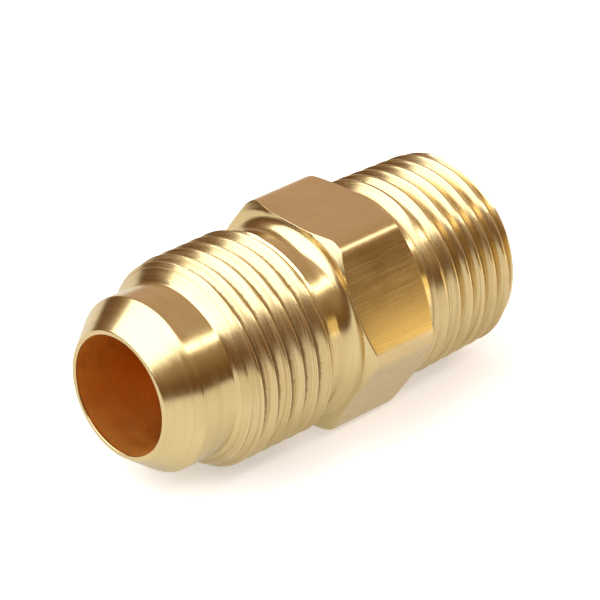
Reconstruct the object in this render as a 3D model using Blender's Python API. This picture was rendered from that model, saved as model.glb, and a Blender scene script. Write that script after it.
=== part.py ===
"""Flare-to-pipe adapter: one machined brass body with a through bore.

The axis lies along X: the flare nose points to -X, the taper pipe thread to +X,
and one hex flat faces straight up. The origin is on the axis, halfway along.
The skin is a set of bands round the axis. Smooth bands are rings of points, and
threaded bands follow their helix, so the whole body is one closed mesh.
"""

import math

import bmesh
import bpy

MM = 0.001
INCH = 0.0254

# Overall length and through bore
LENGTH = 45.9 * MM
BORE_RADIUS = 6.3 * MM
BORE_CHAMFER = 0.5 * MM

# Flare nose: flat lip, sealing cone and plain pilot
LIP_RADIUS = 6.75 * MM
LIP_EDGE = 0.15 * MM
CONE_ANGLE = math.radians(37.0)
NOSE_RADIUS = 9.15 * MM
NOSE_END = 7.2 * MM

# Both threads have 14 turns to the inch and are right-handed
PITCH = INCH / 14.0
CREST_LAND = 0.14
ROOT_LAND = 0.12

# Straight thread for the flare nut, 7/8-14
NUT_THREAD_RADIUS = 10.975 * MM
NUT_THREAD_DEPTH = 0.46 * PITCH
NUT_THREAD_START = 7.5 * MM
NUT_THREAD_START_RADIUS = 9.5 * MM
NUT_THREAD_END = 19.4 * MM
NUT_THREAD_TURN = 0.40

# Plain neck between the straight thread and the hex, hollowed up to a shoulder
NECK_RADIUS = 9.7 * MM
NECK_FILLET_RADIUS = 1.8 * MM
NECK_FILLET_STEPS = 6

# Hex
HEX_ACROSS_FLATS = 22.0 * MM
HEX_CORNER_RADIUS = 2.5 * MM
HEX_SHOULDER_RADIUS = 11.25 * MM
HEX_BACK_FACE_RADIUS = 10.9 * MM
HEX_FRONT = 22.6 * MM
HEX_BACK = 31.9 * MM
HEX_CHAMFER = math.radians(30.0)

# Relief behind the hex
RELIEF_RADIUS = 9.9 * MM
RELIEF_START = 32.2 * MM

# Taper pipe thread, 1/2-14
PIPE_THREAD_START = 33.5 * MM
PIPE_THREAD_DEPTH = 0.56 * PITCH
PIPE_THREAD_TURN = 0.24
PIPE_END_CREST_RADIUS = 10.36 * MM
PIPE_TAPER = 1.0 / 32.0
PIPE_END_FACE_RADIUS = 9.25 * MM
PIPE_RUNOUT_LENGTH = 2.0 * PITCH

# Columns of points round the axis, as angles from the middle of each hex flat
TURN = 2.0 * math.pi
HEX_SIDES = 6
HALF_SIDE = math.pi / HEX_SIDES
FLAT_COLUMNS = 7

WELD_DISTANCE = 1e-6
SHARP_ANGLE = math.radians(30.0)
BRASS_COLOUR = (0.78, 0.56, 0.28, 1.0)
BRASS_ROUGHNESS = 0.28


def hex_corner_centre():
    """Distance from the axis to the centre of a hex corner's rounding."""
    return (HEX_ACROSS_FLATS / 2 - HEX_CORNER_RADIUS) / math.cos(HALF_SIDE)


def hex_flat_half_angle():
    """Angle from the middle of a flat to where the corner rounding begins."""
    half_width = hex_corner_centre() * math.sin(HALF_SIDE)
    return math.atan2(half_width, HEX_ACROSS_FLATS / 2)


def hex_radius(angle):
    """Radius of the hex outline at an angle from the middle of a flat."""
    if abs(angle) <= hex_flat_half_angle() + 1e-9:
        return HEX_ACROSS_FLATS / 2 / math.cos(angle)
    centre = hex_corner_centre()
    from_corner = HALF_SIDE - abs(angle)
    sideways = centre * math.sin(from_corner)
    reach = math.sqrt(HEX_CORNER_RADIUS ** 2 - sideways ** 2)
    return centre * math.cos(from_corner) + reach


def column_angles():
    """Pairs of (angle round the axis, angle from the nearest flat's middle)."""
    flat = hex_flat_half_angle()
    step = 2 * flat / (FLAT_COLUMNS - 1)
    offsets = [-flat + step * i for i in range(FLAT_COLUMNS)] + [HALF_SIDE]
    columns = []
    for side in range(HEX_SIDES):
        middle = HALF_SIDE + side * 2 * HALF_SIDE
        columns += [(middle + offset, offset) for offset in offsets]
    first = columns[0]
    columns.append((first[0] + TURN, first[1]))
    return columns


def on_body(x, radius, angle):
    """Point at a distance x from the flare tip, in the body's own frame."""
    return (x - LENGTH / 2, radius * math.cos(angle), radius * math.sin(angle))


def add_grid(bm, columns):
    """Faces between neighbouring columns of points; the weld closes the seams."""
    verts = [[bm.verts.new(point) for point in column] for column in columns]
    for left, right in zip(verts, verts[1:]):
        for i in range(len(left) - 1):
            bm.faces.new((left[i], left[i + 1], right[i + 1], right[i]))


def add_lathe(bm, profile):
    """A band whose profile, a list of (x, radius), is the same all round."""
    add_grid(bm, [[on_body(x, radius, angle) for x, radius in profile]
                  for angle, _ in column_angles()])


def crest_fraction(phase):
    """Height of a thread, from 0 at the root to 1 at the crest, over one turn."""
    flank = (1.0 - CREST_LAND - ROOT_LAND) / 2
    from_crest = abs((phase + 0.5) % 1.0 - 0.5) - CREST_LAND / 2
    return min(1.0, max(0.0, 1.0 - from_crest / flank))


def add_thread(bm, start, end, start_turn, radius_at):
    """A right-handed thread; radius_at gives the radius at (x, crest fraction)."""
    half_crest = CREST_LAND / 2
    half_root = ROOT_LAND / 2
    half_flank = (0.5 - half_crest - half_root) / 2
    corners = [-half_crest, half_crest, half_crest + half_flank,
               0.5 - half_root, 0.5 + half_root, 0.5 + half_root + half_flank]
    turns = math.ceil((end - start) / PITCH) + 2
    columns = []
    for angle, _ in column_angles():
        turned = angle / TURN + start_turn
        column = []
        for turn in range(-1, turns):
            for corner in corners:
                x = start + (turn + corner + turned - 1) * PITCH
                x = min(end, max(start, x))
                phase = (x - start) / PITCH - turned
                column.append(on_body(x, radius_at(x, crest_fraction(phase)), angle))
        columns.append(column)
    add_grid(bm, columns)


def nut_thread_radius(x, crest):
    """Straight thread under a 45 degree lead chamfer and an end chamfer."""
    thread = NUT_THREAD_RADIUS - NUT_THREAD_DEPTH * (1 - crest)
    lead = NUT_THREAD_START_RADIUS + (x - NUT_THREAD_START)
    tail = NECK_RADIUS + (NUT_THREAD_END - x) * 2
    return min(thread, lead, max(NECK_RADIUS, tail))


def pipe_crest_radius(x):
    """Crest of the taper thread at x."""
    return PIPE_END_CREST_RADIUS + (LENGTH - x) * PIPE_TAPER


def pipe_thread_radius(x, crest):
    """Taper thread whose last turns run out towards the hex, chamfered at both ends."""
    past_start = (x - PIPE_THREAD_START) / PIPE_RUNOUT_LENGTH
    depth = PIPE_THREAD_DEPTH * min(1.0, 0.3 + 0.7 * past_start)
    thread = pipe_crest_radius(x) - depth * (1 - crest)
    lead = RELIEF_RADIUS + (x - PIPE_THREAD_START)
    tail = PIPE_END_FACE_RADIUS + (LENGTH - x)
    return min(thread, lead, tail)


def nose_profile():
    """Lip, sealing cone, pilot and the step up to the straight thread."""
    cone_start = LIP_RADIUS + LIP_EDGE
    cone_length = (NOSE_RADIUS - cone_start) / math.tan(CONE_ANGLE)
    return [(0.0, BORE_RADIUS), (0.0, LIP_RADIUS), (LIP_EDGE, cone_start),
            (LIP_EDGE + cone_length, NOSE_RADIUS), (NOSE_END, NOSE_RADIUS),
            (NUT_THREAD_START, NUT_THREAD_START_RADIUS)]


def neck_curve_turn(radius):
    """How far round its own centre the neck's hollow curve is at a radius."""
    return math.acos(1 - (radius - NECK_RADIUS) / NECK_FILLET_RADIUS)


def neck_and_hex_column(from_flat):
    """Points (x, radius) along the neck, its hollow curve and the hex.

    The curve climbs to the shoulder in front of each hex corner. The flats lie lower
    than the shoulder, so they cut the curve off sooner.
    """
    outline = hex_radius(from_flat)
    start = HEX_FRONT - NECK_FILLET_RADIUS * math.sin(neck_curve_turn(HEX_SHOULDER_RADIUS))
    last = neck_curve_turn(min(outline, HEX_SHOULDER_RADIUS))
    points = [(NUT_THREAD_END, NECK_RADIUS)]
    for i in range(NECK_FILLET_STEPS + 1):
        turn = last * i / NECK_FILLET_STEPS
        points.append((start + NECK_FILLET_RADIUS * math.sin(turn),
                       NECK_RADIUS + NECK_FILLET_RADIUS * (1 - math.cos(turn))))
    if outline > HEX_SHOULDER_RADIUS:
        front = HEX_FRONT + (outline - HEX_SHOULDER_RADIUS) * math.tan(HEX_CHAMFER)
        points.append((front, outline))
    else:
        points.append(points[-1])
    back = HEX_BACK - (outline - HEX_BACK_FACE_RADIUS) * math.tan(HEX_CHAMFER)
    points += [(back, outline), (HEX_BACK, HEX_BACK_FACE_RADIUS)]
    return points


def add_neck_and_hex(bm):
    """The neck and the hex, whose corners are rounded and chamfered at both ends."""
    add_grid(bm, [[on_body(x, radius, angle)
                   for x, radius in neck_and_hex_column(from_flat)]
                  for angle, from_flat in column_angles()])


def relief_profile():
    """Short relief between the hex and the pipe thread."""
    return [(HEX_BACK, HEX_BACK_FACE_RADIUS), (RELIEF_START, RELIEF_RADIUS),
            (PIPE_THREAD_START, RELIEF_RADIUS)]


def bore_profile():
    """Pipe end face and the bore, back to the flare lip."""
    return [(LENGTH, PIPE_END_FACE_RADIUS), (LENGTH, BORE_RADIUS + BORE_CHAMFER),
            (LENGTH - BORE_CHAMFER, BORE_RADIUS), (0.0, BORE_RADIUS)]


def brass_material():
    """Bright machined brass."""
    material = bpy.data.materials.new("brass")
    material.use_nodes = True
    shader = material.node_tree.nodes["Principled BSDF"]
    shader.inputs["Base Color"].default_value = BRASS_COLOUR
    shader.inputs["Metallic"].default_value = 1.0
    shader.inputs["Roughness"].default_value = BRASS_ROUGHNESS
    return material


def make_fitting_body():
    """The whole adapter as one closed solid."""
    bm = bmesh.new()
    add_lathe(bm, nose_profile())
    add_thread(bm, NUT_THREAD_START, NUT_THREAD_END, NUT_THREAD_TURN,
               nut_thread_radius)
    add_neck_and_hex(bm)
    add_lathe(bm, relief_profile())
    add_thread(bm, PIPE_THREAD_START, LENGTH, PIPE_THREAD_TURN, pipe_thread_radius)
    add_lathe(bm, bore_profile())
    bmesh.ops.remove_doubles(bm, verts=bm.verts, dist=WELD_DISTANCE)
    bmesh.ops.dissolve_degenerate(bm, edges=bm.edges, dist=WELD_DISTANCE)
    bmesh.ops.recalc_face_normals(bm, faces=bm.faces)
    mesh = bpy.data.meshes.new("fitting_body")
    bm.to_mesh(mesh)
    bm.free()
    mesh.shade_smooth()
    mesh.set_sharp_from_angle(angle=SHARP_ANGLE)
    mesh.materials.append(brass_material())
    body = bpy.data.objects.new("fitting_body", mesh)
    bpy.context.scene.collection.objects.link(body)
    return body


def main():
    for old in list(bpy.data.objects):
        bpy.data.objects.remove(old, do_unlink=True)
    make_fitting_body()


main()
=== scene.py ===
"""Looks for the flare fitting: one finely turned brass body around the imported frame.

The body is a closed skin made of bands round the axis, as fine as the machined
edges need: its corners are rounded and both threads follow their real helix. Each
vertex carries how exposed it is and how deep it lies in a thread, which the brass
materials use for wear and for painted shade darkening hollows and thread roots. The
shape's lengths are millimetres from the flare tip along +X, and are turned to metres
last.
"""

import math

import bmesh
import bpy
import numpy as np
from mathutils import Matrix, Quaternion, Vector


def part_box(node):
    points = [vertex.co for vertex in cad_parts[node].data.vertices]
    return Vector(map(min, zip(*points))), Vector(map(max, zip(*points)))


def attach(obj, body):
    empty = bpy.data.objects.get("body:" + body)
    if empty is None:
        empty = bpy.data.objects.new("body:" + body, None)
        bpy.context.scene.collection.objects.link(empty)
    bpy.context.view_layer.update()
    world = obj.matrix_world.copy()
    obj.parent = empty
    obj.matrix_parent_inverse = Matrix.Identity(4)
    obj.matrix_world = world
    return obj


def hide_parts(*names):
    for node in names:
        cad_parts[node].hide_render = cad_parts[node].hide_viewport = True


MM = 0.001
TURN = 2.0 * math.pi

# The body's sizes, as the frame has them
BORE_RADIUS = 6.3
LIP_RADIUS = 6.75
CONE_ANGLE = math.radians(37.0)
NOSE_RADIUS = 9.15
NOSE_END = 7.2
PITCH = 25.4 / 14.0
NUT_THREAD_RADIUS = 10.97
NUT_THREAD_DEPTH = 0.46 * PITCH
NUT_THREAD_START = 7.5
NUT_THREAD_START_RADIUS = 9.5
NUT_THREAD_END = 19.4
NUT_THREAD_TAIL_SLOPE = 2.0
NUT_THREAD_TURN = 0.40
NECK_RADIUS = 9.7
NECK_FILLET_RADIUS = 1.8
NECK_FILLET_TOP = 11.25
HEX_HALF_WIDTH = 11.0
HEX_CORNER_RADIUS = 2.5
HEX_FACE_RADIUS = 10.9
HEX_FRONT = 22.6
HEX_BACK = 31.9
HEX_CHAMFER_SLOPE = math.tan(math.radians(30.0))
RELIEF_RADIUS = 9.9
RELIEF_START = 32.2
PIPE_THREAD_START = 33.5
PIPE_THREAD_DEPTH = 0.56 * PITCH
PIPE_END_CREST_RADIUS = 10.36
PIPE_TAPER = 1.0 / 32.0
PIPE_END_FACE_RADIUS = 9.25
PIPE_RUNOUT_LENGTH = 2.0 * PITCH
PIPE_THREAD_TURN = 0.28
PIPE_FIRST_DEPTH_SHARE = 0.3
BORE_CHAMFER = 0.5
BORE_END_DEPTH = 1.0
MOUTH_DEPTH = 0.2

# Thread form: crest and root widths in parts of a turn and how softly they bend,
# and how softly and how wide the turned edges are rounded
NUT_CREST_LAND = 0.07
PIPE_CREST_LAND = 0.17
ROOT_LAND = 0.05
CREST_SOFTNESS = 0.18
ROOT_SOFTNESS = 0.10
EDGE_SOFTNESS = 0.06
MOUTH_ROUNDING = 0.10
LIP_ROUNDING = 0.22
CONE_ROUNDING = 0.30
NOSE_ROUNDING = 0.12
RELIEF_ROUNDING = 0.25
FACE_ROUNDING = 0.12
BORE_EDGE_ROUNDING = 0.20

# How fine the skin is: steps round it, rows along it, and the longest step on each
# turned band. EDGE_ROWS lie beside each edge of a flat, and EDGE_LEAD before them.
HEX_SIDES = 6
HALF_SIDE = math.pi / HEX_SIDES
FLAT_STEPS = 20
CORNER_STEPS = 8
ARC_STEPS = 6
SMALLEST_TURN = 1e-3
NOSE_STEP, RELIEF_STEP, END_STEP, BORE_STEP = 0.35, 0.25, 0.2, 0.7
NECK_ROWS, CURVE_ROWS, FLAT_ROWS, BACK_ROWS = 4, 30, 11, 7
EDGE_ROWS = np.array([-0.08, -0.04, -0.015, 0.0, 0.015, 0.04, 0.08, 0.15, 0.3, 0.6])
EDGE_LEAD = 0.12
WELD_DISTANCE = 1e-6
SHARP_ANGLE = math.radians(50.0)
EXPOSURE_GAIN = 6.0

# Material slots of the skin
TURNED, THREAD, FLAT, BORE = range(4)

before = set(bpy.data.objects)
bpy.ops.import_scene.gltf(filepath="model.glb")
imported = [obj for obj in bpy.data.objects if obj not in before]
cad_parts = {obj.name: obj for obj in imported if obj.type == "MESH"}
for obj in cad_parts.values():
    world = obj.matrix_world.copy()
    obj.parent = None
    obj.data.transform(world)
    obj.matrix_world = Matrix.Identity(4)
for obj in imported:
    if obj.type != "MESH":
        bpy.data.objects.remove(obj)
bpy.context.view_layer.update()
body_lo, body_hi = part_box("fitting_body")
LENGTH = (body_hi.x - body_lo.x) / MM
CENTRE = (body_lo + body_hi) / 2


# ---------------------------------------------------------------- shape


def soft_min(a, b, softness):
    """The lower of a and b, with the corner between them rounded."""
    return (a + b - np.sqrt((a - b) ** 2 + softness ** 2)) / 2


def soft_max(a, b, softness):
    """The higher of a and b, with the corner between them rounded."""
    return -soft_min(-a, -b, softness)


# Where the hexagon's rounded corners are centred, and half the angle a flat spans
CORNER_CENTRE = (HEX_HALF_WIDTH - HEX_CORNER_RADIUS) / math.cos(HALF_SIDE)
HALF_FLAT = math.atan2(CORNER_CENTRE * math.sin(HALF_SIDE), HEX_HALF_WIDTH)


def column_angles():
    """Angles round the axis from +Y, close together over the hex corners."""
    flat = np.linspace(-HALF_FLAT, HALF_FLAT, FLAT_STEPS + 1)
    corner = np.linspace(HALF_FLAT, 2 * HALF_SIDE - HALF_FLAT, CORNER_STEPS + 1)
    side = np.concatenate([flat, corner[1:-1]]) + HALF_SIDE
    sides = [side + number * 2 * HALF_SIDE for number in range(HEX_SIDES)]
    return np.append(np.concatenate(sides), side[0] + TURN)


ANGLES = column_angles()


def hex_radius(angles):
    """Radius of the hex outline, its corners rounded, at angles from +Y."""
    from_flat = (angles % (2 * HALF_SIDE)) - HALF_SIDE
    flat = HEX_HALF_WIDTH / np.cos(from_flat)
    from_corner = HALF_SIDE - np.abs(from_flat)
    sideways = CORNER_CENTRE * np.sin(from_corner)
    reach = np.sqrt(np.maximum(HEX_CORNER_RADIUS ** 2 - sideways ** 2, 0.0))
    return np.where(np.abs(from_flat) <= HALF_FLAT, flat,
                    CORNER_CENTRE * np.cos(from_corner) + reach)


def rounded(profile):
    """A (x, radius, rounding) profile as points, each corner turned into an arc."""
    points = [Vector(corner[:2]) for corner in profile]
    path = [points[0]]
    for before, here, after, corner in zip(points, points[1:], points[2:], profile[1:]):
        into, out = (here - before).normalized(), (after - here).normalized()
        turn = into.angle(out)
        rounding = corner[2]
        if rounding == 0.0 or turn < SMALLEST_TURN:
            path.append(here)
            continue
        reach = rounding * math.tan(turn / 2)
        centre = here + (out - into).normalized() * rounding / math.cos(turn / 2)
        start, end = here - into * reach - centre, here + out * reach - centre
        for step in range(ARC_STEPS + 1):
            share = step / ARC_STEPS
            spoke = (start.normalized().slerp(end.normalized(), share)) * rounding
            path.append(centre + spoke)
    path.append(points[-1])
    return np.array([tuple(point) for point in path])


def subdivided(path, longest):
    """The path with points added so that no step is longer than the given length."""
    result = [path[0]]
    for start, end in zip(path, path[1:]):
        pieces = max(1, math.ceil(np.linalg.norm(end - start) / longest))
        for piece in range(1, pieces + 1):
            result.append(start + (end - start) * piece / pieces)
    return np.array(result)


def lathe(profile, slot, longest):
    """A band whose profile is the same all round: (x, radius, slot, groove).

    Its groove is 0: only a thread has one.
    """
    path = subdivided(rounded(profile), longest)
    shape = (len(ANGLES), len(path))
    return (np.broadcast_to(path[:, 0], shape), np.broadcast_to(path[:, 1], shape),
            slot, 0.0)


def thread_drop(from_crest, crest_land):
    """How far the thread form has dropped at a part of a turn away from the crest."""
    flank = (1.0 - crest_land - ROOT_LAND) / 2
    drop = soft_max((from_crest - crest_land / 2) / flank, 0.0, CREST_SOFTNESS)
    return soft_min(drop, 1.0, ROOT_SOFTNESS)


def crest_height(phase, crest_land):
    """Height of the thread form, from 0 at the root to 1 at the crest."""
    from_crest = np.abs((phase + 0.5) % 1.0 - 0.5)
    lowest, highest = thread_drop(0.5, crest_land), thread_drop(0.0, crest_land)
    return (lowest - thread_drop(from_crest, crest_land)) / (lowest - highest)


def thread_phases():
    """Where a turn of thread needs rows: over its crest and into its narrow root."""
    half = [0.0, 0.025, 0.05, 0.08, 0.11, 0.14, 0.2, 0.28, 0.36, 0.42, 0.45, 0.475]
    return sorted(half + [0.5] + [1.0 - phase for phase in half[1:]])


def threaded(start, end, start_radius, end_radius, start_turn, crest_land, radius_at):
    """A right-handed thread from start to end as a band.

    Its groove says how far each point lies under the crest, from 0 to 1.
    """
    turns = math.ceil((end - start) / PITCH) + 2
    rows = np.array([turn + phase for turn in range(-1, turns)
                     for phase in thread_phases()])
    turned = ANGLES[:, None] / TURN + start_turn
    x = np.clip(start + (rows[None, :] + turned - 1.0) * PITCH, start, end)
    phase = (x - start) / PITCH - turned
    radius = radius_at(x, crest_height(phase, crest_land))
    groove = radius_at(x, 1.0) - radius
    radius = np.where(x <= start, start_radius, radius)
    radius = np.where(x >= end, end_radius, radius)
    return x, radius, THREAD, groove / groove.max()


def nut_thread_radius(x, crest):
    """Straight thread under its lead chamfer and end chamfer."""
    thread = NUT_THREAD_RADIUS - NUT_THREAD_DEPTH * (1 - crest)
    lead = NUT_THREAD_START_RADIUS + (x - NUT_THREAD_START)
    tail = NECK_RADIUS + (NUT_THREAD_END - x) * NUT_THREAD_TAIL_SLOPE
    return soft_min(soft_min(thread, lead, EDGE_SOFTNESS),
                    np.maximum(tail, NECK_RADIUS), EDGE_SOFTNESS)


def pipe_thread_radius(x, crest):
    """Taper thread that runs out towards the hex, chamfered at both ends."""
    past_start = (x - PIPE_THREAD_START) / PIPE_RUNOUT_LENGTH
    share = PIPE_FIRST_DEPTH_SHARE + (1.0 - PIPE_FIRST_DEPTH_SHARE) * past_start
    depth = PIPE_THREAD_DEPTH * np.minimum(1.0, share)
    thread = PIPE_END_CREST_RADIUS + (LENGTH - x) * PIPE_TAPER - depth * (1 - crest)
    lead = RELIEF_RADIUS + (x - PIPE_THREAD_START)
    tail = PIPE_END_FACE_RADIUS + (LENGTH - x)
    return soft_min(soft_min(thread, lead, EDGE_SOFTNESS), tail, EDGE_SOFTNESS)


def neck_curve_length(radius):
    """How far along the axis the neck's hollow curve takes to reach a radius."""
    drop = NECK_FILLET_RADIUS - (radius - NECK_RADIUS)
    return np.sqrt(NECK_FILLET_RADIUS ** 2 - drop ** 2)


CURVE_START = HEX_FRONT - neck_curve_length(NECK_FILLET_TOP)


def turned_front(x):
    """Radius of the neck, its hollow curve and the chamfer in front of the hex."""
    along = np.clip(x - CURVE_START, 0.0, HEX_FRONT - CURVE_START)
    curve = NECK_RADIUS + NECK_FILLET_RADIUS - np.sqrt(NECK_FILLET_RADIUS ** 2
                                                       - along ** 2)
    chamfer = NECK_FILLET_TOP + (x - HEX_FRONT) / HEX_CHAMFER_SLOPE
    return np.where(x > HEX_FRONT, chamfer, curve)


def hex_band():
    """Neck, chamfered hex and its back face: the hex outline cut by turned shapes."""
    outline = hex_radius(ANGLES)[:, None]
    on_curve = CURVE_START + neck_curve_length(np.minimum(outline, NECK_FILLET_TOP))
    on_chamfer = HEX_FRONT + (outline - NECK_FILLET_TOP) * HEX_CHAMFER_SLOPE
    front = np.where(outline > NECK_FILLET_TOP, on_chamfer, on_curve)
    back = HEX_BACK - (outline - HEX_FACE_RADIUS) * HEX_CHAMFER_SLOPE

    neck = np.linspace(NUT_THREAD_END, CURVE_START, NECK_ROWS) * np.ones_like(front)
    curve_end = np.minimum(HEX_FRONT, front - EDGE_LEAD)
    curve_share = np.linspace(0.0, 1.0, CURVE_ROWS)[1:]
    curve = CURVE_START + (curve_end - CURVE_START) * curve_share
    chamfer = curve_end + (front - EDGE_LEAD - curve_end) * np.array([0.35, 0.7, 1.0])
    start, end = front + EDGE_ROWS[-1], back - EDGE_ROWS[-1]
    flat = start + (end - start) * np.linspace(0.0, 1.0, FLAT_ROWS)[1:-1]
    back_cut = (HEX_BACK - back) * np.linspace(0.0, 1.0, BACK_ROWS)[1:]
    x = np.concatenate([neck, curve, chamfer, front + EDGE_ROWS, flat,
                        back - EDGE_ROWS[:2:-1], back + back_cut], axis=1)
    back_cone = HEX_FACE_RADIUS + (HEX_BACK - x) / HEX_CHAMFER_SLOPE
    radius = soft_min(soft_min(outline, turned_front(x), EDGE_SOFTNESS), back_cone,
                      EDGE_SOFTNESS)
    radius[:, 0], radius[:, -1] = NECK_RADIUS, HEX_FACE_RADIUS
    middle = (x[:-1, :-1] + x[1:, 1:]) / 2
    on_flat = (middle > front[:-1]) & (middle < back[:-1])
    return x, radius, np.where(on_flat, FLAT, TURNED), 0.0


def nose_band():
    """From inside the bore mouth over the rounded lip, the cone and the pilot."""
    cone_length = (NOSE_RADIUS - LIP_RADIUS) / math.tan(CONE_ANGLE)
    return lathe([(MOUTH_DEPTH, BORE_RADIUS, 0),
                  (0.0, BORE_RADIUS, MOUTH_ROUNDING),
                  (0.0, LIP_RADIUS, LIP_ROUNDING),
                  (cone_length, NOSE_RADIUS, CONE_ROUNDING),
                  (NOSE_END, NOSE_RADIUS, NOSE_ROUNDING),
                  (NUT_THREAD_START, NUT_THREAD_START_RADIUS, 0)], TURNED, NOSE_STEP)


def relief_band():
    """Relief between the hex and the pipe thread."""
    return lathe([(HEX_BACK, HEX_FACE_RADIUS, 0),
                  (RELIEF_START, RELIEF_RADIUS, RELIEF_ROUNDING),
                  (PIPE_THREAD_START, RELIEF_RADIUS, 0)], TURNED, RELIEF_STEP)


def end_band():
    """Pipe end face and its inner chamfer."""
    return lathe([(LENGTH, PIPE_END_FACE_RADIUS, 0),
                  (LENGTH, BORE_RADIUS + BORE_CHAMFER, FACE_ROUNDING),
                  (LENGTH - BORE_CHAMFER, BORE_RADIUS, BORE_EDGE_ROUNDING),
                  (LENGTH - BORE_END_DEPTH, BORE_RADIUS, 0)], TURNED, END_STEP)


def bore_band():
    """The bore wall, between the two mouths."""
    return lathe([(LENGTH - BORE_END_DEPTH, BORE_RADIUS, 0),
                  (MOUTH_DEPTH, BORE_RADIUS, 0)], BORE, BORE_STEP)


def exposure_of(bm):
    """How far each vertex stands out of its neighbours, from -1 to 1, smoothed once."""
    bm.normal_update()
    raw = np.zeros(len(bm.verts))
    for vert in bm.verts:
        rise = [(edge.other_vert(vert).co - vert.co) for edge in vert.link_edges]
        slope = sum(step.dot(vert.normal) / max(step.length, 1e-9) for step in rise)
        raw[vert.index] = -slope / max(len(rise), 1)
    smooth = np.zeros(len(raw))
    for vert in bm.verts:
        around = [edge.other_vert(vert).index for edge in vert.link_edges]
        smooth[vert.index] = (raw[vert.index] + raw[around].mean()) / 2
    return np.clip(smooth * EXPOSURE_GAIN, -1.0, 1.0)


def build_skin(name, bands):
    """All bands welded into one closed mesh object."""
    verts, faces, slots, grooves = [], [], [], []
    for x, radius, slot, groove in bands:
        first = len(verts)
        rows = x.shape[1]
        angles = ANGLES[:, None]
        places = np.stack([body_lo.x + x * MM,
                           CENTRE.y + radius * MM * np.cos(angles),
                           CENTRE.z + radius * MM * np.sin(angles)], axis=-1)
        verts.extend(map(tuple, places.reshape(-1, 3)))
        left = first + np.arange(len(ANGLES) - 1)[:, None] * rows + np.arange(rows - 1)
        quads = np.stack([left, left + 1, left + rows + 1, left + rows], axis=-1)
        faces.extend(map(tuple, quads.reshape(-1, 4).tolist()))
        slots.extend(np.broadcast_to(slot, quads.shape[:2]).ravel().tolist())
        grooves.extend(np.broadcast_to(groove, x.shape).ravel().tolist())
    mesh = bpy.data.meshes.new(name)
    mesh.from_pydata(verts, [], faces)
    mesh.polygons.foreach_set("material_index", slots)
    layer = mesh.attributes.new("groove", "FLOAT", "POINT")
    layer.data.foreach_set("value", grooves)
    bm = bmesh.new()
    bm.from_mesh(mesh)
    bmesh.ops.remove_doubles(bm, verts=bm.verts, dist=WELD_DISTANCE)
    bmesh.ops.dissolve_degenerate(bm, edges=bm.edges, dist=WELD_DISTANCE)
    bmesh.ops.recalc_face_normals(bm, faces=bm.faces)
    bm.verts.ensure_lookup_table()
    bm.verts.index_update()
    exposure = exposure_of(bm)
    bm.to_mesh(mesh)
    bm.free()
    layer = mesh.attributes.new("exposure", "FLOAT", "POINT")
    layer.data.foreach_set("value", exposure.astype(np.float32))
    mesh.shade_smooth()
    mesh.set_sharp_from_angle(angle=SHARP_ANGLE)
    obj = bpy.data.objects.new(name, mesh)
    bpy.context.scene.collection.objects.link(obj)
    return obj


# ------------------------------------------------------------ materials


class Graph:
    """Short calls for building a node tree."""

    def __init__(self, tree):
        self.tree = tree

    def node(self, kind, inputs=None, **settings):
        """A new node; an input is a plain value or another node's output."""
        made = self.tree.nodes.new(kind)
        for key, value in settings.items():
            setattr(made, key, value)
        for key, value in (inputs or {}).items():
            if isinstance(value, bpy.types.NodeSocket):
                self.tree.links.new(value, made.inputs[key])
            else:
                made.inputs[key].default_value = value
        return made

    def math(self, operation, a, b=0.0):
        return self.node("ShaderNodeMath", {0: a, 1: b}, operation=operation).outputs[0]

    def noise(self, vector, scale, detail, roughness):
        made = self.node("ShaderNodeTexNoise", {"Vector": vector, "Scale": scale,
                                                "Detail": detail,
                                                "Roughness": roughness})
        return made.outputs["Fac"]

    def spread(self, value, low, high, to_low=0.0, to_high=1.0):
        """The value's range from low to high, stretched to another and cut there."""
        made = self.node("ShaderNodeMapRange", {"Value": value, "From Min": low,
                                                "From Max": high, "To Min": to_low,
                                                "To Max": to_high})
        return made.outputs["Result"]

    def mix(self, factor, a, b):
        made = self.node("ShaderNodeMix", data_type="RGBA")
        for socket, value in ((made.inputs[0], factor), (made.inputs[6], a),
                              (made.inputs[7], b)):
            if isinstance(value, bpy.types.NodeSocket):
                self.tree.links.new(value, socket)
            else:
                socket.default_value = value
        return made.outputs[2]


def colour(red, green, blue):
    """A node's colour, fully opaque."""
    return (red, green, blue, 1.0)


WHITE = colour(1.0, 1.0, 1.0)
WORN_BRASS = colour(0.84, 0.70, 0.42)
# Painted shade: the dark tone that hollows and thread roots are darkened towards
PAINTED_SHADE_BRASS = colour(0.20, 0.125, 0.055)
STREAKED_BRASS = colour(0.46, 0.31, 0.13)

# How often each noise repeats in a metre, and how far the tool's marks are drawn out
FINE_MARKS, BROAD_MARKS, CLOUDS, SPECKS = 5200.0, 1100.0, 170.0, 2600.0
RING_STRETCH, LINE_STRETCH = 0.012, 0.03

# How many times more a thread's root is darkened by painted shade than other hollows
ROOT_SHADE = 1.4

# How much rougher or smoother brass is where painted shade darkens it, where it is worn
# and where it is streaked
SHADE_ROUGHNESS, WEAR_ROUGHNESS, STREAK_ROUGHNESS = 0.3, -0.05, 0.15


def start_material(name):
    """A new material with an empty node tree."""
    material = bpy.data.materials.new(name)
    material.use_nodes = True
    material.node_tree.nodes.clear()
    return material, Graph(material.node_tree)


def finish_material(graph, base, roughness, normal, metallic, glow=0.0,
                    glow_tone=WHITE):
    """Ends the node tree in one Principled shader with these inputs."""
    shader = graph.node("ShaderNodeBsdfPrincipled",
                        {"Base Color": base, "Metallic": metallic,
                         "Roughness": roughness, "Normal": normal,
                         "Emission Color": glow_tone,
                         "Emission Strength": glow})
    output = graph.node("ShaderNodeOutputMaterial")
    graph.tree.links.new(shader.outputs[0], output.inputs[0])


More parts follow.
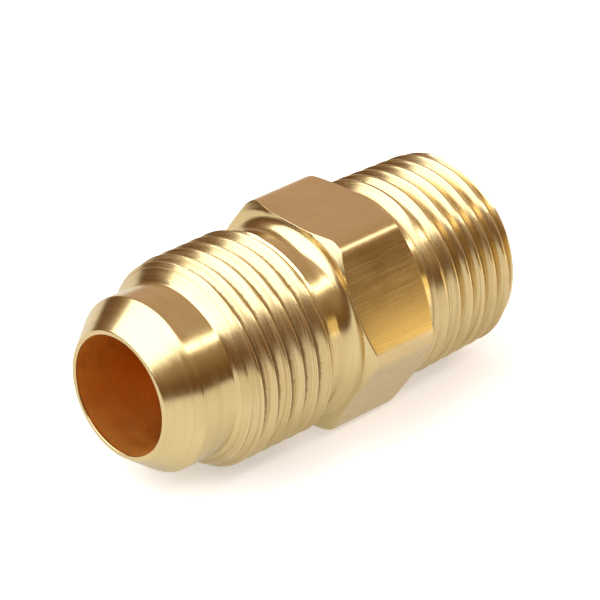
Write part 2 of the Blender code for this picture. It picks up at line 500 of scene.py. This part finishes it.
def surface_axes(graph):
    """Position, its x, y and z, and the distance from the axis, in metres."""
    place = graph.node("ShaderNodeTexCoord").outputs["Object"]
    x, y, z = graph.node("ShaderNodeSeparateXYZ", {0: place}).outputs
    across = graph.node("ShaderNodeCombineXYZ", {1: y, 2: z})
    radius = graph.node("ShaderNodeVectorMath", {0: across.outputs[0]},
                        operation="LENGTH").outputs["Value"]
    return place, x, y, z, radius


def tool_marks(graph, marks):
    """Fine and broad noise drawn out along the tool's path, and the position."""
    place, x, y, z, radius = surface_axes(graph)
    if marks == "rings":
        x = graph.math("ADD", x, radius)
        y = graph.math("MULTIPLY", y, RING_STRETCH)
        z = graph.math("MULTIPLY", z, RING_STRETCH)
    else:
        x = graph.math("MULTIPLY", x, LINE_STRETCH)
    drawn = graph.node("ShaderNodeCombineXYZ", {0: x, 1: y, 2: z}).outputs[0]
    fine = graph.noise(drawn, FINE_MARKS, 2.0, 0.6)
    broad = graph.noise(drawn, BROAD_MARKS, 2.0, 0.5)
    return fine, broad, place


def brass(name, tones, roughness, marks, mark_height, hollow_shade, streaks):
    """Machined brass.

    tones: darker and lighter tone. marks: 'rings' from a lathe tool or 'lines' from
    drawing along the bar. mark_height: their height in metres. hollow_shade: how strongly
    painted shade darkens hollows and thread roots. streaks: how strongly the marks show
    as darker and rougher lines.
    """
    material, graph = start_material(name)
    fine_marks, broad_marks, place = tool_marks(graph, marks)
    cloud = graph.noise(place, CLOUDS, 4.0, 0.6)
    speck = graph.noise(place, SPECKS, 3.0, 0.65)

    # Wear on what stands out, and painted shade darkening hollows and thread roots
    exposure = graph.node("ShaderNodeAttribute", attribute_name="exposure").outputs["Fac"]
    ragged = graph.math("ADD", exposure, graph.spread(speck, 0.3, 0.7, -0.12, 0.12))
    worn = graph.spread(ragged, 0.25, 0.8)
    groove = graph.node("ShaderNodeAttribute", attribute_name="groove").outputs["Fac"]
    groove = graph.math("ADD", groove, graph.spread(speck, 0.3, 0.7, -0.06, 0.06))
    painted_shade = graph.math("MAXIMUM", graph.spread(ragged, -0.15, -0.7, 0.0, hollow_shade),
                        graph.spread(groove, 0.80, 0.96, 0.0, hollow_shade * ROOT_SHADE))

    # Colour: clouded, streaked along the marks, worn, and darkened by painted shade in
    # hollows and thread roots
    base = graph.mix(graph.spread(cloud, 0.35, 0.65), tones[0], tones[1])
    both_marks = graph.math("ADD", graph.math("MULTIPLY", broad_marks, 0.5),
                            graph.math("MULTIPLY", fine_marks, 0.5))
    streak = graph.spread(both_marks, 0.5, 0.68, 0.0, streaks)
    base = graph.mix(streak, base, STREAKED_BRASS)
    base = graph.mix(worn, base, WORN_BRASS)
    # Painted shade: hollows and thread roots darkened where shade falls in them
    base = graph.mix(painted_shade, base, PAINTED_SHADE_BRASS)

    # Roughness: each of them moves it a little
    rough = graph.math("ADD", graph.spread(cloud, 0.3, 0.7, -0.03, 0.03),
                       graph.spread(fine_marks, 0.3, 0.7, -0.03, 0.04))
    for amount, change in ((painted_shade, SHADE_ROUGHNESS), (worn, WEAR_ROUGHNESS),
                           (streak, STREAK_ROUGHNESS)):
        rough = graph.math("ADD", rough, graph.math("MULTIPLY", amount, change))
    rough = graph.math("ADD", rough, roughness)

    # Relief: the tool's marks and a little grain
    height = graph.math("ADD", graph.math("MULTIPLY", broad_marks, 0.6),
                        graph.math("MULTIPLY", fine_marks, 0.4))
    height = graph.math("ADD", height, graph.math("MULTIPLY", speck, 0.12))
    bump = graph.node("ShaderNodeBump", {"Height": height, "Strength": 1.0,
                                         "Distance": mark_height}).outputs[0]
    finish_material(graph, base, rough, bump, 1.0)
    return material


def make_materials():
    """The skin's four finishes, in the order of their slots."""
    return [
        brass("brass_turned", (colour(0.70, 0.56, 0.28), colour(0.75, 0.61, 0.32)),
              roughness=0.20, marks="rings", mark_height=4e-6, hollow_shade=0.3, streaks=0.2),
        brass("brass_thread", (colour(0.65, 0.51, 0.25), colour(0.72, 0.58, 0.31)),
              roughness=0.22, marks="rings", mark_height=1.2e-5, hollow_shade=0.55, streaks=0.75),
        brass("brass_flat", (colour(0.69, 0.54, 0.28), colour(0.74, 0.59, 0.31)),
              roughness=0.25, marks="lines", mark_height=1.3e-6, hollow_shade=0.3, streaks=0.15),
        # The bore's brass is painted brighter and more orange than the rest: painted
        # light standing in for light bounced round inside the bore
        brass("brass_bore_painted_bounce", (colour(0.94, 0.49, 0.10), colour(1.0, 0.57, 0.13)),
              roughness=0.45, marks="rings", mark_height=5e-6, hollow_shade=0.2, streaks=0.3),
    ]


# ------------------------------------------------- floor, light, camera


FLOOR_WIDTH = 6.0
FLOOR_GLOW = 0.43

# The room's tones, and the side where it is tan from the floor up
BELOW_HORIZON = colour(0.6, 0.56, 0.5)
TAN = colour(0.64, 0.46, 0.38)
TAN_SIDE = (0.94, 0.34, 0.0)

# The camera looks at a point given from the fitting's centre, in metres
CAMERA_AZIMUTH = math.radians(43.9)
CAMERA_ELEVATION = math.radians(28.7)
CAMERA_SWING = math.radians(-2.4)
CAMERA_DISTANCE = 0.3791
CAMERA_LENS = 226.2
CAMERA_TARGET = Vector((1.46, -0.05, 1.35)) * MM


def floor_material():
    """Pale glowing paper: near white for the camera, duller in reflections."""
    material, graph = start_material("floor_paper")
    place = graph.node("ShaderNodeTexCoord").outputs["Object"]
    grain = graph.noise(place, 900.0, 4.0, 0.6)
    fleck = graph.spread(grain, 0.3, 0.7)
    reflected = graph.mix(fleck, colour(0.38, 0.38, 0.38), colour(0.40, 0.40, 0.40))
    shown = graph.mix(fleck, colour(0.86, 0.86, 0.87), colour(0.90, 0.90, 0.91))
    seen = graph.node("ShaderNodeLightPath").outputs["Is Camera Ray"]
    tone = graph.mix(seen, reflected, shown)
    glow_tone = graph.mix(seen, colour(1.0, 0.955, 0.86), WHITE)
    bump = graph.node("ShaderNodeBump", {"Height": grain, "Strength": 0.3,
                                         "Distance": 2e-5}).outputs[0]
    finish_material(graph, tone, 0.7, bump, 0.0, FLOOR_GLOW, glow_tone)
    return material


def make_floor():
    """A pale floor that the fitting's lowest flat rests on."""
    half = FLOOR_WIDTH / 2
    mesh = bpy.data.meshes.new("floor")
    corners = [(-half, -half), (half, -half), (half, half), (-half, half)]
    mesh.from_pydata([(x, y, body_lo.z) for x, y in corners], [], [(0, 1, 2, 3)])
    mesh.materials.append(floor_material())
    floor = bpy.data.objects.new("floor", mesh)
    bpy.context.scene.collection.objects.link(floor)


def softbox(name, place, facing, width, height, radiance, tint, roll=0.0):
    """A rectangular light at a place, turned towards a point; unrolled it is level.

    The place and the point are in metres from the fitting's centre, and the roll is
    in degrees.
    """
    light = bpy.data.lights.new(name, "AREA")
    light.shape = "RECTANGLE"
    light.size = width
    light.size_y = height
    light.color = tint
    light.energy = radiance * math.pi * width * height
    lamp = bpy.data.objects.new(name, light)
    lamp.location = CENTRE + Vector(place)
    back = (Vector(place) - Vector(facing)).normalized()
    rolled = Quaternion((0.0, 0.0, 1.0), math.radians(roll))
    lamp.rotation_euler = (back.to_track_quat("Z", "Y") @ rolled).to_euler()
    lamp.visible_camera = False
    bpy.context.scene.collection.objects.link(lamp)


def make_lights():
    """A softbox above on the left, a long strip in front, and two low cards.

    The cards stand close in front of the hexagon and the pipe thread, and put the
    gold and amber reflections on them.
    """
    softbox("key_softbox", place=(-0.56, 0.27, 0.79), facing=(0.0, 0.0, 0.0),
            width=1.63, height=1.2, radiance=2.9, tint=(0.86, 0.92, 1.0), roll=-38.0)
    softbox("edge_strip", place=(0.115, -0.332, 0.498), facing=(0.115, 0.0, 0.0),
            width=1.07, height=0.10, radiance=4.0, tint=(1.0, 0.97, 0.94))
    softbox("gold_card", place=(0.0316, -0.036, 0.0064), facing=(0.0316, 0.0, 0.0064),
            width=0.0295, height=0.0115, radiance=1.15, tint=(1.0, 0.81, 0.38))
    softbox("amber_card", place=(0.0385, -0.036, -0.0037),
            facing=(0.0385, 0.0, -0.0037), width=0.019, height=0.0085, radiance=0.75,
            tint=(1.0, 0.66, 0.24))


def make_world():
    """A warm room, dark low down and tan overhead and to the right.

    The camera sees plain white instead.
    """
    world = bpy.data.worlds.new("room")
    bpy.context.scene.world = world
    world.use_nodes = True
    world.node_tree.nodes.clear()
    graph = Graph(world.node_tree)
    direction = graph.node("ShaderNodeTexCoord").outputs["Generated"]
    height = graph.node("ShaderNodeSeparateXYZ", {0: direction}).outputs[2]
    ramp = graph.node("ShaderNodeValToRGB", {"Fac": graph.spread(height, -1.0, 1.0)})
    stops = ramp.color_ramp.elements
    stops[0].position = 0.0
    stops[0].color = BELOW_HORIZON
    stops[1].position = 1.0
    stops[1].color = colour(0.66, 0.50, 0.42)
    for elevation, tone in ((-3.0, BELOW_HORIZON),
                            (1.0, colour(0.13, 0.055, 0.018)),
                            (16.0, colour(0.20, 0.095, 0.034)),
                            (32.0, colour(0.385, 0.245, 0.14)),
                            (46.0, colour(0.38, 0.26, 0.15)),
                            (60.0, TAN)):
        stop = stops.new((math.sin(math.radians(elevation)) + 1) / 2)
        stop.color = tone
    towards = graph.node("ShaderNodeVectorMath", {0: direction, 1: TAN_SIDE},
                         operation="DOT_PRODUCT").outputs["Value"]
    tan_side = graph.mix(graph.spread(towards, 0.5, 0.72), ramp.outputs[0], TAN)
    room = graph.node("ShaderNodeBackground", {"Color": tan_side})
    plain = graph.node("ShaderNodeBackground", {"Color": WHITE})
    seen = graph.node("ShaderNodeLightPath").outputs["Is Camera Ray"]
    both = graph.node("ShaderNodeMixShader", {0: seen, 1: room.outputs[0],
                                              2: plain.outputs[0]})
    output = graph.node("ShaderNodeOutputWorld")
    graph.tree.links.new(both.outputs[0], output.inputs[0])


def make_camera():
    """A long lens from the front left, looking down at the fitting.

    It is swung a little over the top of the fitting's axis, which shows more of the
    hexagon's upper flat.
    """
    level = math.cos(CAMERA_ELEVATION)
    back = Vector((-math.sin(CAMERA_AZIMUTH) * level, -math.cos(CAMERA_AZIMUTH) * level,
                   math.sin(CAMERA_ELEVATION)))
    camera = bpy.data.cameras.new("camera")
    camera.sensor_width = 36.0
    camera.lens = CAMERA_LENS
    camera.clip_start = 0.01
    camera.clip_end = 20.0
    holder = bpy.data.objects.new("camera", camera)
    place = CAMERA_TARGET + back * CAMERA_DISTANCE
    swing = Quaternion((1.0, 0.0, 0.0), CAMERA_SWING)
    holder.location = CENTRE + swing @ place
    holder.rotation_euler = (swing @ back.to_track_quat("Z", "Y")).to_euler()
    bpy.context.scene.collection.objects.link(holder)
    bpy.context.scene.camera = holder


# ---------------------------------------------------------------- scene

fitting = build_skin("brass_fitting", [
    nose_band(),
    threaded(NUT_THREAD_START, NUT_THREAD_END, NUT_THREAD_START_RADIUS, NECK_RADIUS,
             NUT_THREAD_TURN, NUT_CREST_LAND, nut_thread_radius),
    hex_band(),
    relief_band(),
    threaded(PIPE_THREAD_START, LENGTH, RELIEF_RADIUS, PIPE_END_FACE_RADIUS,
             PIPE_THREAD_TURN, PIPE_CREST_LAND, pipe_thread_radius),
    end_band(),
    bore_band(),
])
for finish in make_materials():
    fitting.data.materials.append(finish)
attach(fitting, "root")
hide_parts("fitting_body")

make_floor()
make_lights()
make_world()
make_camera()
bpy.context.scene.view_settings.view_transform = "Standard"
